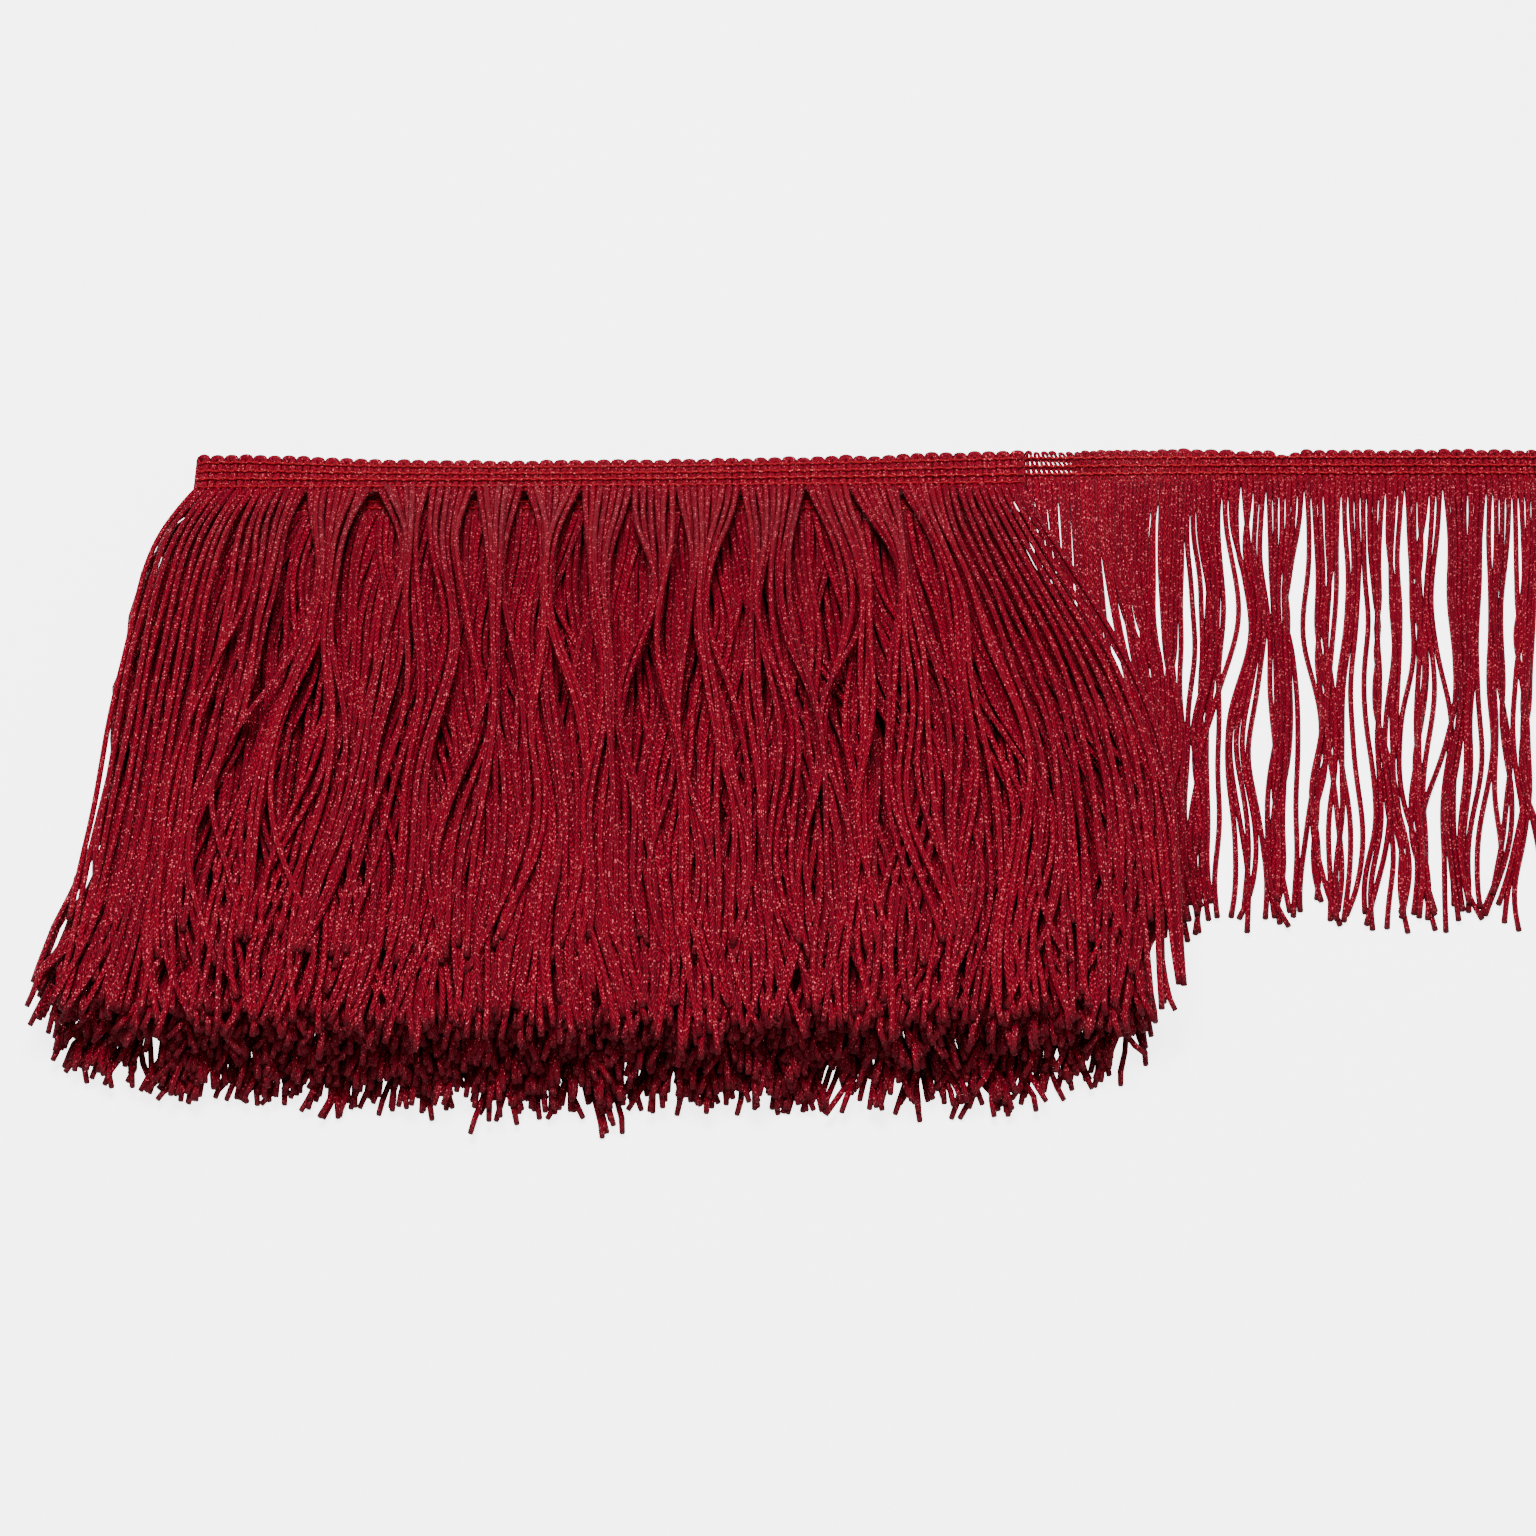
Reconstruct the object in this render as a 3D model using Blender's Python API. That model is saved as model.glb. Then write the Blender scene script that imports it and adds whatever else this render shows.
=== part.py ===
"""Roll of chainette fringe trim, wound flat, with its last lap on top and its loose end run out to the right.

Metres, +Z up. The heading tape lies at the back, +Y, and the fringe points to the front, -Y.
The origin is the bottom centre of the whole thing, on the surface that it lies on.
"""

import math
import random

import bmesh
import bpy
from mathutils import Vector

MM = 0.001

# The trim as it is cut: a knitted heading with a fringe of cords, joined to it along a narrow strip.
HEADING = 12 * MM
FRINGE = 146 * MM
TAPE = 1.2 * MM
CHAIN_ROWS = 4
CHAIN_RISE = 0.35 * MM
ROOT_GAP = 0.3 * MM
ROOT_STRIP = 2 * MM

# The flat roll under its last lap.
ROLL_WIDTH = 209 * MM
LAPS = 20
LAP_PITCH = 1.5 * MM
STACK = LAPS * LAP_PITCH
FOLD_SQUARENESS = 4.5
FOLD_STEPS = 8
REAR_DROP = 0.1
TOP_SKEW = 7.5 * MM
BASE_SKEW = 16 * MM

# How the fringe lies on the roll: its crown, its spread to the sides, its cut ends.
CROWN_RISE = 24 * MM
CROWN_FALL = 32 * MM
SIDE_DROP = 0.3
LEFT_SPREAD = 28 * MM
RIGHT_SPREAD = 34 * MM
RIGHT_BOW = 0.55
ROLL_REACH = FRINGE - ROOT_GAP - ROOT_STRIP
CORNER_ROUNDING = 0.08

# The last lap, and the loose end that comes off it down a ramp. The cords reach less far where they wave or fall.
LAST_LAP_HEIGHT = STACK + 1.2 * MM
LAST_LAP_START_X = -ROLL_WIDTH / 2 + 6 * MM
LAST_LAP_REACH = 0.91 * FRINGE
LAST_LAP_SPREAD = 0.8
LOOSE_END_X = 252 * MM
LOOSE_SET_BACK = 26.8 * MM
RAMP_START_X = ROLL_WIDTH / 2 + 1.5 * MM
RAMP_END_X = ROLL_WIDTH / 2 + 63 * MM
LEVEL_LENGTH = 7 * MM
LOOSE_REACH = 0.94 * FRINGE
LOOSE_LEAN = -17 * MM
RAMP_LEAN = 31 * MM
RAMP_LEAN_LENGTH = 46 * MM
FALL_START = 12 * MM
FALL_PER_HEIGHT = 1.1
SLACK_PER_HEIGHT = 0.7

# The locks that stand for the fringe cords: their numbers, and the width and thickness of the thin ones.
LOCK_GAP = 0.35 * MM
ROLL_ROWS = 4
ROLL_LOCKS = 30
LAST_LAP_LOCKS = 72
RAMP_LOCKS = 12
LOOSE_LOCKS = 28
LAST_LAP_LOCK = (1.9 * MM, 2.2 * MM)
LOOSE_LOCK = (1.7 * MM, 1.5 * MM)
CUT_END_TAPER = 0.75

RED = (0.42, 0.012, 0.022)
BRIGHT_RED = (0.55, 0.018, 0.022)


def clear_scene():
    for old in list(bpy.data.objects):
        bpy.data.objects.remove(old, do_unlink=True)


def ease(share):
    """From 0 to 1, starting and ending level."""
    share = min(1.0, max(0.0, share))
    return share * share * (3 - 2 * share)


def between(low, high, share):
    return low + (high - low) * share


# The material of each kind of piece


def yarn(name, colour, roughness):
    material = bpy.data.materials.new(name)
    material.use_nodes = True
    shader = material.node_tree.nodes["Principled BSDF"]
    shader.inputs["Base Color"].default_value = (*colour, 1)
    shader.inputs["Roughness"].default_value = roughness
    shader.inputs["Metallic"].default_value = 0.15
    return material


def finished(mesh_builder, name, material, collection):
    """The object of a finished bmesh, with its faces turned outwards."""
    bmesh.ops.recalc_face_normals(mesh_builder, faces=mesh_builder.faces)
    mesh = bpy.data.meshes.new(name)
    mesh_builder.to_mesh(mesh)
    mesh_builder.free()
    mesh.materials.append(material)
    made = bpy.data.objects.new(name, mesh)
    collection.objects.link(made)
    return made


# Where things lie in the roll


def skew(height):
    """How far forward a lap of the roll lies. The lower laps have slid towards the fringe."""
    return between(BASE_SKEW, TOP_SKEW, height / STACK)


def heading_point(x, back, height, forward):
    """A point of the wound heading: back is its distance behind the heading's front edge."""
    drop = 1 - REAR_DROP * max(0.0, back) / HEADING
    return Vector((x, back - forward, height * drop))


def crown(along):
    """The height of the roll's fringe under the last lap, from its roots at 0 to its cut ends at 1."""
    return STACK + CROWN_RISE * along - CROWN_FALL * along * along


def spread(across, along, level):
    """How far to the side the fringe of the roll has spread from its roots."""
    if across < 0:
        outline = 0.7 * along**0.4 + 0.3 * along**4
        return LEFT_SPREAD * across**3 * outline * (0.5 + 0.5 * level)
    return RIGHT_SPREAD * across**3 * along**RIGHT_BOW * (0.6 + 0.4 * level)


def pile_point(across, along, level):
    """A point of the roll's fringe: across from -1 to 1, along from 0 to 1, level from 0 to 1."""
    reach = ROLL_REACH * (1 - CORNER_ROUNDING * abs(across) ** 6)
    side = 1 - SIDE_DROP * across**4 * ease(along)
    x = across * ROLL_WIDTH / 2 + spread(across, along, level)
    y = -ROOT_GAP - ROOT_STRIP - reach * along - skew(level * STACK)
    return Vector((x, y, level * crown(along) * side))


def lap_order():
    """The laps' places in the stack, counted from the table, from the inside of the winding outwards."""
    places = []
    for turn in range(LAPS // 2):
        places += [LAPS // 2 + turn, LAPS // 2 - 1 - turn]
    return places


def winding():
    """The (x, height, skew) points of the tape's middle, from the inside of the roll to the last lap's start."""
    heights = [TAPE / 2 + place * LAP_PITCH for place in lap_order()] + [LAST_LAP_HEIGHT]
    straight = ROLL_WIDTH / 2 - (STACK + LAP_PITCH) / 2
    points = [(-straight, heights[0], skew(heights[0]))]
    for turn, (start, end) in enumerate(zip(heights, heights[1:])):
        side = 1 if turn % 2 == 0 else -1
        last = turn == LAPS - 1
        out = (turn + 1) * LAP_PITCH / 2
        steps = FOLD_STEPS if turn > 3 else FOLD_STEPS // 2
        for step in range(steps if last else steps + 1):
            angle = math.pi * step / steps
            sideways = max(0.0, math.sin(angle)) ** (2 / FOLD_SQUARENESS)
            upwards = abs(math.cos(angle)) ** (2 / FOLD_SQUARENESS) * math.copysign(1, math.cos(angle))
            share = (1 - upwards) / 2
            forward = between(skew(start), 0 if last else skew(end), share)
            points.append((side * (straight + out * sideways), between(start, end, share), forward))
    return points


# The loose end's line


def ramp_share(x):
    return ease((x - RAMP_START_X) / (RAMP_END_X - RAMP_START_X))


def front_edge(x):
    """The heading's front edge on the last lap, down the ramp and along the table, at its underside."""
    share = ramp_share(x)
    return Vector((x, LOOSE_SET_BACK * share, between(LAST_LAP_HEIGHT - TAPE / 2, 0, share)))


def width_direction(x):
    """The way across the heading, towards its back edge."""
    ahead = front_edge(x + MM) - front_edge(x - MM)
    sideways = Vector((-ahead.y, ahead.x, 0)).normalized()
    droop = REAR_DROP * LAST_LAP_HEIGHT / HEADING * (1 - ease((x - RAMP_START_X) / LEVEL_LENGTH))
    return (sideways - Vector((0, 0, droop))).normalized()


# Pieces of tape


def swept_tape(name, stations, rows, place, material, collection):
    """A tape through stations, with rows of points across it. place(station, row, on top) is each point."""
    builder = bmesh.new()
    bmesh.ops.create_grid(builder, x_segments=len(stations) - 1, y_segments=rows - 1, size=0.5)
    lower = list(builder.verts)
    raised = bmesh.ops.extrude_face_region(builder, geom=list(builder.faces))["geom"]
    upper = [item for item in raised if isinstance(item, bmesh.types.BMVert)]
    for vertices, on_top in ((lower, False), (upper, True)):
        for vertex in vertices:
            station = round((vertex.co.x + 0.5) * (len(stations) - 1))
            row = round((vertex.co.y + 0.5) * (rows - 1))
            vertex.co = place(stations[station], row, on_top)
    return finished(builder, name, material, collection)


def wound_heading(material, collection):
    """The heading of all the laps but the last, one tape wound flat with its laps a little apart."""
    points = winding()
    stations = []
    for index, (x, height, forward) in enumerate(points):
        before = points[max(0, index - 1)]
        after = points[min(len(points) - 1, index + 1)]
        ahead = Vector((after[0] - before[0], after[1] - before[1])).normalized()
        stations.append((x, height, forward, -ahead.y, ahead.x))

    def place(station, row, on_top):
        x, height, forward, out_x, out_up = station
        side = TAPE / 2 if on_top else -TAPE / 2
        return heading_point(x + side * out_x, row * HEADING, height + side * out_up, forward)

    return swept_tape("wound_heading", stations, 2, place, material, collection)


def ribbed_heading(name, stations, material, collection):
    """A length of heading with its rows of chain stitch raised along its upper side."""
    rows = 2 * CHAIN_ROWS + 1

    def place(x, row, on_top):
        point = front_edge(x) + width_direction(x) * HEADING * row / (rows - 1)
        if on_top:
            point.z += TAPE + (CHAIN_RISE if row % 2 else 0)
        return point

    return swept_tape(name, stations, rows, place, material, collection)


def last_lap_heading(material, collection):
    steps = 6
    stations = [between(LAST_LAP_START_X, RAMP_START_X - ROOT_GAP, step / steps) for step in range(steps + 1)]
    return ribbed_heading("last_lap_heading", stations, material, collection)


def loose_heading(material, collection):
    steps = 22
    stations = [between(RAMP_START_X, LOOSE_END_X, (step / steps) ** 1.3) for step in range(steps + 1)]
    return ribbed_heading("loose_heading", stations, material, collection)


# Combs of fringe: a narrow strip with its locks


def comb(name, columns, corner, strip_back, stations, material, collection, first=0):
    """A strip with a lock on every second column of it, the first of them numbered first.

    columns are the edges along the strip. corner(lock, station, right, top) is a corner of a lock at a station,
    and strip_back(edge, top) is a point of the strip's back.
    """
    builder = bmesh.new()
    last = len(columns) - 1
    bmesh.ops.create_grid(builder, x_segments=last, y_segments=1, size=0.5)
    place = {}
    for vertex in builder.verts:
        place[vertex] = (round((vertex.co.x + 0.5) * last), vertex.co.y > 0)
    front = sorted(builder.faces, key=lambda face: face.calc_center_median().x)
    behind = bmesh.ops.extrude_face_region(builder, geom=front)["geom"]
    for vertex in [item for item in behind if isinstance(item, bmesh.types.BMVert)]:
        edge = round((vertex.co.x + 0.5) * last)
        vertex.co = strip_back(columns[edge], vertex.co.y > 0)
    for vertex, (edge, top) in place.items():
        if edge in (0, last):
            vertex.co = strip_back(columns[edge], top) - Vector((0, ROOT_STRIP, 0))
        else:
            vertex.co = corner(first + (edge - 1) // 2, stations[0], edge % 2 == 0, top)
    for lock, face in enumerate(front[1::2], first):
        sides = [(place[vertex][0] % 2 == 0, place[vertex][1]) for vertex in face.verts]
        for station in stations[1:]:
            face = bmesh.ops.extrude_discrete_faces(builder, faces=[face])["faces"][0]
            for vertex, (right, top) in zip(face.verts, sides):
                vertex.co = corner(lock, station, right, top)
    return finished(builder, name, material, collection)


def root_columns(centres, half_width, low, high):
    """The edges of the strip and of each lock's root, in order."""
    columns = [low]
    for centre in centres:
        columns += [centre - half_width, centre + half_width]
    return columns + [high]


def even_places(count, low, high):
    return [between(low, high, (lock + 0.5) / count) for lock in range(count)]


def apart(places, least):
    """The same places in the same order, pushed at least this far apart."""
    places = list(places)
    for sweep in range(60):
        for index in range(len(places) - 1):
            short = least - (places[index + 1] - places[index])
            if short > 0:
                places[index] -= short / 2
                places[index + 1] += short / 2
    for index in range(1, len(places)):
        places[index] = max(places[index], places[index - 1] + least)
    return places


def clumps(count, smallest, largest, draw):
    """The index of the clump that each lock leans to."""
    members = []
    while len(members) < count:
        members += [len(set(members))] * draw.randint(smallest, largest)
    return members[:count]


def leaning(places, members, pull):
    """Each place moved towards the middle of its clump by this share."""
    middles = {}
    for clump in set(members):
        mine = [place for place, member in zip(places, members) if member == clump]
        middles[clump] = sum(mine) / len(mine)
    return [between(place, middles[member], pull) for place, member in zip(places, members)]


def roll_row(row, material, collection):
    """One of the rows of thick locks that stand for the cords of several laps of the roll."""
    draw = random.Random(40 + row)
    half = ROLL_WIDTH / 2 - 0.5 * MM
    centres = even_places(ROLL_LOCKS, -half, half)
    pitch = 2 * half / ROLL_LOCKS
    root_half = 0.42 * pitch
    floor = row / ROLL_ROWS
    ceiling = (row + 1) / ROLL_ROWS
    gap = LOCK_GAP / STACK
    ends = [1 + draw.uniform(-0.035, 0.02) for _ in centres]
    tops = [draw.uniform(0, 0.02) for _ in centres]
    members = clumps(ROLL_LOCKS, 1, 3, draw)

    def middle_lines(along):
        pulled = leaning(centres, members, 0.16 * along)
        return apart(pulled, 0.9 * pitch + LOCK_GAP)

    stations = [0, 0.36, 0.72, 1]
    lines = {along: middle_lines(along) for along in stations}

    def corner(lock, along, right, top):
        half_width = between(root_half, 0.45 * pitch, min(1, 3 * along))
        half_width *= CUT_END_TAPER if along == 1 else 1
        across = (lines[along][lock] + (half_width if right else -half_width)) / (ROLL_WIDTH / 2)
        level = ceiling - gap - tops[lock] * ease(along) if top else floor
        if along == 1 and top:
            level -= 0.25 / ROLL_ROWS
        return pile_point(across, along * (ends[lock] if along == 1 else 1), level)

    def strip_back(x, top):
        point = pile_point(x / (ROLL_WIDTH / 2), 0, ceiling - gap if top else floor)
        return point + Vector((0, ROOT_STRIP, 0))

    columns = root_columns(centres, root_half, -half, half)
    return comb(f"roll_fringe_{row + 1}", columns, corner, strip_back, stations, material, collection)


def last_lap_fringe(material, collection):
    """The cords of the last lap, as locks that lean together over the roll."""
    draw = random.Random(7)
    width, thick = LAST_LAP_LOCK
    low = LAST_LAP_START_X
    high = RAMP_START_X - ROOT_GAP
    centres = even_places(LAST_LAP_LOCKS, low, high)
    upper_clumps = clumps(LAST_LAP_LOCKS, 2, 4, draw)
    lower_clumps = clumps(LAST_LAP_LOCKS, 2, 5, draw)
    lifts = [draw.uniform(0, 1.4) * MM for _ in centres]
    ends = [1 + draw.uniform(-0.05, 0.05) for _ in centres]
    stations = [0, 0.14, 0.3, 0.48, 0.66, 0.84, 1]

    def middle_lines(along):
        lines = leaning(centres, upper_clumps, 0.75 * ease(along / 0.35) * (1 - ease((along - 0.4) / 0.5)))
        lines = leaning(lines, lower_clumps, 0.7 * ease((along - 0.35) / 0.5))
        return apart(lines, width + LOCK_GAP)

    lines = {along: middle_lines(along) for along in stations}

    def corner(lock, along, right, top):
        part = along * (ends[lock] if along == 1 else 1)
        half_width = width / 2 * (CUT_END_TAPER if along == 1 else 1)
        middle = lines[along][lock]
        share = middle / (ROLL_WIDTH / 2)
        x = middle + LAST_LAP_SPREAD * spread(share, part, 1) + (half_width if right else -half_width)
        y = -ROOT_GAP - ROOT_STRIP - LAST_LAP_REACH * part
        under = pile_height(share, y)
        start = LAST_LAP_HEIGHT - TAPE / 2
        bottom = max(under + 2 * LOCK_GAP, between(start, 0, part)) + lifts[lock] * ease(part / 0.3)
        bottom = start if part == 0 else bottom
        height = TAPE if part == 0 else thick * (CUT_END_TAPER if along == 1 else 1)
        return Vector((x, y, bottom + (height if top else 0)))

    def strip_back(x, top):
        return Vector((x, -ROOT_GAP, LAST_LAP_HEIGHT + (TAPE / 2 if top else -TAPE / 2)))

    columns = root_columns(centres, width / 2, low, high)
    return comb("last_lap_fringe", columns, corner, strip_back, stations, material, collection)


def pile_height(across, y):
    """The height of the roll's fringe where the last lap crosses it."""
    reach = ROLL_REACH * (1 - CORNER_ROUNDING * abs(across) ** 6)
    along = max(0.0, (-y - ROOT_GAP - ROOT_STRIP - TOP_SKEW) / reach)
    return crown(along) * (1 - SIDE_DROP * across**4 * ease(along))


def hanging_fringe(material, collection):
    """Locks that fall from the loose end's heading onto the table and lie there, in two lengths."""
    draw = random.Random(11)
    width, thick = LOOSE_LOCK
    count = RAMP_LOCKS + LOOSE_LOCKS
    centres = even_places(RAMP_LOCKS, RAMP_START_X, RAMP_END_X)
    centres += even_places(LOOSE_LOCKS, RAMP_END_X + ROOT_GAP, LOOSE_END_X)
    members = clumps(count, 2, 4, draw)
    end_clumps = clumps(count, 2, 3, draw)
    ends = [1 + draw.uniform(-0.05, 0.03) for _ in centres]
    stations = [0, 0.15, 0.32, 0.5, 0.72, 1]

    def lean(x, along):
        """How far a lock lies to the right of its root. Those of the ramp follow the roll's side."""
        away = (x - RAMP_START_X) / (LOOSE_END_X - RAMP_START_X)
        beside_roll = RAMP_LEAN * (1 - ease((x - RAMP_START_X) / RAMP_LEAN_LENGTH))
        return beside_roll * along**RIGHT_BOW + between(LOOSE_LEAN / 3, LOOSE_LEAN, away) * along

    def middle_lines(along):
        lines = leaning(centres, members, 0.8 * ease(along / 0.4))
        lines = leaning(lines, end_clumps, 0.5 * ease((along - 0.5) / 0.5))
        lines = [middle + lean(centre, along) for middle, centre in zip(lines, centres)]
        return apart(lines, width + LOCK_GAP)

    lines = {along: middle_lines(along) for along in stations}

    def corner(lock, along, right, top):
        part = along * (ends[lock] if along == 1 else 1)
        half_width = (width / 2 if right else -width / 2) * (CUT_END_TAPER if along == 1 else 1)
        centre = centres[lock]
        if along == 0:
            edge = centre + half_width
            start = front_edge(edge) - width_direction(edge) * (ROOT_GAP + ROOT_STRIP)
            return start + Vector((0, 0, TAPE if top else 0))
        root = front_edge(centre) - width_direction(centre) * (ROOT_GAP + ROOT_STRIP)
        reach = (LOOSE_REACH - SLACK_PER_HEIGHT * root.z) * part
        z = root.z * (1 - ease(reach / (FALL_START + FALL_PER_HEIGHT * root.z)))
        return Vector((lines[along][lock] + half_width, root.y - reach, z + (thick if top else 0)))

    def strip_back(x, top):
        start = front_edge(x) - width_direction(x) * ROOT_GAP
        return start + Vector((0, 0, TAPE if top else 0))

    ramp = root_columns(centres[:RAMP_LOCKS], width / 2, RAMP_START_X, RAMP_END_X)
    loose = root_columns(centres[RAMP_LOCKS:], width / 2, RAMP_END_X + ROOT_GAP, LOOSE_END_X)
    comb("ramp_fringe", ramp, corner, strip_back, stations, material, collection)
    comb("loose_fringe", loose, corner, strip_back, stations, material, collection, RAMP_LOCKS)


def settle(collection):
    """Moves everything so that the origin is the bottom centre of the whole thing."""
    bpy.context.view_layer.update()
    corners = [piece.matrix_world @ Vector(corner) for piece in collection.objects for corner in piece.bound_box]
    low = Vector([min(corner[axis] for corner in corners) for axis in range(3)])
    high = Vector([max(corner[axis] for corner in corners) for axis in range(3)])
    for piece in collection.objects:
        piece.location = Vector((-(low.x + high.x) / 2, -(low.y + high.y) / 2, -low.z))


def main():
    clear_scene()
    collection = bpy.data.collections.new("fringe_trim_roll")
    bpy.context.scene.collection.children.link(collection)
    heading_yarn = yarn("heading_yarn", BRIGHT_RED, 0.7)
    fringe_yarn = yarn("fringe_yarn", RED, 0.55)
    wound_heading(heading_yarn, collection)
    last_lap_heading(heading_yarn, collection)
    loose_heading(heading_yarn, collection)
    for row in range(ROLL_ROWS):
        roll_row(row, fringe_yarn, collection)
    last_lap_fringe(fringe_yarn, collection)
    hanging_fringe(fringe_yarn, collection)
    settle(collection)


main()
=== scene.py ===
# %% [markdown]
# # A roll of chainette fringe
#
# Fringe trim is two things in one: a narrow knitted heading, and hundreds of soft knitted cords that hang
# from it. This one is wound flat on itself, its last lap lies on top, and its loose end runs out over the
# table.
#
# Everything here is made of cords. A real cord passes through the heading, turns at the back edge in a
# small scallop and comes out again beside itself, and four rows of chain stitch hold the cords side by
# side. So the script lays out the centre lines of the cords first, a few thousand of them, and then
# sweeps a round section along all of them at once.

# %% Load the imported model, which says where everything lies
import math

import bmesh
import bpy
import numpy as np
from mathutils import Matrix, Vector


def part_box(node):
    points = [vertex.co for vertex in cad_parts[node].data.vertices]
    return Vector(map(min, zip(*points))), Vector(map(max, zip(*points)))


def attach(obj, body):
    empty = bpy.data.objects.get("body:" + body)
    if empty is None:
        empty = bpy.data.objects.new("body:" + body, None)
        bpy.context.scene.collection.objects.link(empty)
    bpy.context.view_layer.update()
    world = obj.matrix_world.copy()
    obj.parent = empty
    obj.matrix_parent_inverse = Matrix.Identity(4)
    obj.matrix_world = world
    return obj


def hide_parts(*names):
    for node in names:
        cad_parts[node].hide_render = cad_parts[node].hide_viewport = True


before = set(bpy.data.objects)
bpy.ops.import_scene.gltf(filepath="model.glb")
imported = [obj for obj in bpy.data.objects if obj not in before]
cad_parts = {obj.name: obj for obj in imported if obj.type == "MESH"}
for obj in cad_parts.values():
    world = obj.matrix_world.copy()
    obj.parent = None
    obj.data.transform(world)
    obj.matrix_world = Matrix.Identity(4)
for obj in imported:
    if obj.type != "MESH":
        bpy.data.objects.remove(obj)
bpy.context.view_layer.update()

# %% [markdown]
# ## Sizes
#
# The sizes below are those of the solids, in millimetres. Layout is easiest in the roll's own
# coordinates: x runs along the heading with the roll's middle at 0, y is 0 at the front edge of the last
# lap's heading and falls towards the cut ends, and z is the height above the table. One function turns
# such points into the frame.

# %% Sizes of the roll, in millimetres
MM = 0.001
HEADING = 12.0
FRINGE = 146.0
TAPE = 1.2
ROLL_WIDTH = 209.0
HALF = ROLL_WIDTH / 2
LAPS = 20
LAP_PITCH = 1.5
STACK = LAPS * LAP_PITCH
FOLD_SQUARENESS = 9.0
REAR_DROP = 0.1
TOP_SKEW = 7.5
BASE_SKEW = 16.0
CROWN_RISE = 24.0
CROWN_FALL = 32.0
SIDE_DROP = 0.3
LEFT_SPREAD = 28.0
RIGHT_SPREAD = 32.5
RIGHT_REACH = 0.68
CORNER_ROUNDING = 0.08
LAST_LAP_HEIGHT = STACK + 1.2
LAST_LAP_CORNER = -HALF + 6
LAST_LAP_START = -HALF - 0.3
LOOSE_END = 252.0
LOOSE_SET_BACK = 26.8
RAMP_START = HALF + 1.5
RAMP_END = HALF + 63
LEVEL_LENGTH = 5.0
RAMP_TWIST = 0.8
RAMP_LEAN = 33.0
RAMP_LEAN_LENGTH = 46.0
LOOSE_LEAN = -17.0
LAP_DRIFT = 1.6

first_lap_corner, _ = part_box("last_lap_heading")
ORIGIN = np.array([first_lap_corner.x - LAST_LAP_CORNER * MM, first_lap_corner.y, 0.0])


def in_frame(points):
    """Points of the roll, in millimetres, as points of the frame in metres."""
    return np.asarray(points) * MM + ORIGIN


print("the roll's middle lies at", ORIGIN.round(4), "in the frame")

# %% Two small helpers that the whole layout uses


def ease(share):
    """From 0 to 1, starting and ending level."""
    share = np.clip(share, 0, 1)
    return share * share * (3 - 2 * share)


def between(low, high, share):
    return low + (high - low) * share


# %% [markdown]
# ## Camera, light and floor
#
# The trim is seen from in front and well above, so a long lens at that angle gives its proportions. The
# light is a wide soft box over the table, a little behind the heading, with a weak fill in front: that
# leaves the cut ends of the roll in shade, as soft deep pile is when light falls from above.

# %% The camera
VIEW_ELEVATION = math.radians(55)
VIEW_DISTANCE = 900.0
VIEW_TARGET = (40.5, -64.4, 0.0)
LENS = 84.4

camera_data = bpy.data.cameras.new("camera")
camera_data.lens = LENS
camera_data.sensor_width = 36
camera = bpy.data.objects.new("camera", camera_data)
bpy.context.scene.collection.objects.link(camera)
bpy.context.scene.camera = camera
away = Vector((0, -math.cos(VIEW_ELEVATION), math.sin(VIEW_ELEVATION)))
camera.location = Vector(in_frame(VIEW_TARGET)) + away * VIEW_DISTANCE * MM
camera.rotation_mode = "QUATERNION"
camera.rotation_quaternion = (-away).to_track_quat("-Z", "Y")

# %% Floor and lights


def soft_box(name, place, size, power):
    """A square area light over the table that faces the roll."""
    data = bpy.data.lights.new(name, "AREA")
    data.size = size
    data.energy = power
    box = bpy.data.objects.new(name, data)
    box.location = place
    box.rotation_mode = "QUATERNION"
    box.rotation_quaternion = (-Vector(place)).to_track_quat("-Z", "Y")
    bpy.context.scene.collection.objects.link(box)
    return box


def pale_floor():
    """A wide plain floor with a matt off-white finish."""
    builder = bmesh.new()
    bmesh.ops.create_grid(builder, x_segments=1, y_segments=1, size=6)
    mesh = bpy.data.meshes.new("floor")
    builder.to_mesh(mesh)
    builder.free()
    material = bpy.data.materials.new("pale_floor")
    material.use_nodes = True
    shader = material.node_tree.nodes["Principled BSDF"]
    shader.inputs["Base Color"].default_value = (0.86, 0.86, 0.87, 1)
    shader.inputs["Roughness"].default_value = 0.9
    shader.inputs["Emission Color"].default_value = (1, 1, 1, 1)
    seen = material.node_tree.nodes.new("ShaderNodeLightPath")
    glow = material.node_tree.nodes.new("ShaderNodeMath")
    glow.operation = "MULTIPLY_ADD"
    glow.inputs[1].default_value = 3.4
    glow.inputs[2].default_value = 0.5
    material.node_tree.links.new(seen.outputs["Is Camera Ray"], glow.inputs[0])
    material.node_tree.links.new(glow.outputs[0], shader.inputs["Emission Strength"])
    mesh.materials.append(material)
    floor = bpy.data.objects.new("floor", mesh)
    bpy.context.scene.collection.objects.link(floor)


pale_floor()
soft_box("key_light", (-0.1, 0.3, 1.12), 0.5, 24)
soft_box("front_fill", (0.5, -1.0, 0.9), 0.9, 5.5)
world = bpy.data.worlds.new("studio")
bpy.context.scene.world = world
world.use_nodes = True
world.node_tree.nodes["Background"].inputs["Color"].default_value = (1, 1, 1, 1)
world.node_tree.nodes["Background"].inputs["Strength"].default_value = 0.4

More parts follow.
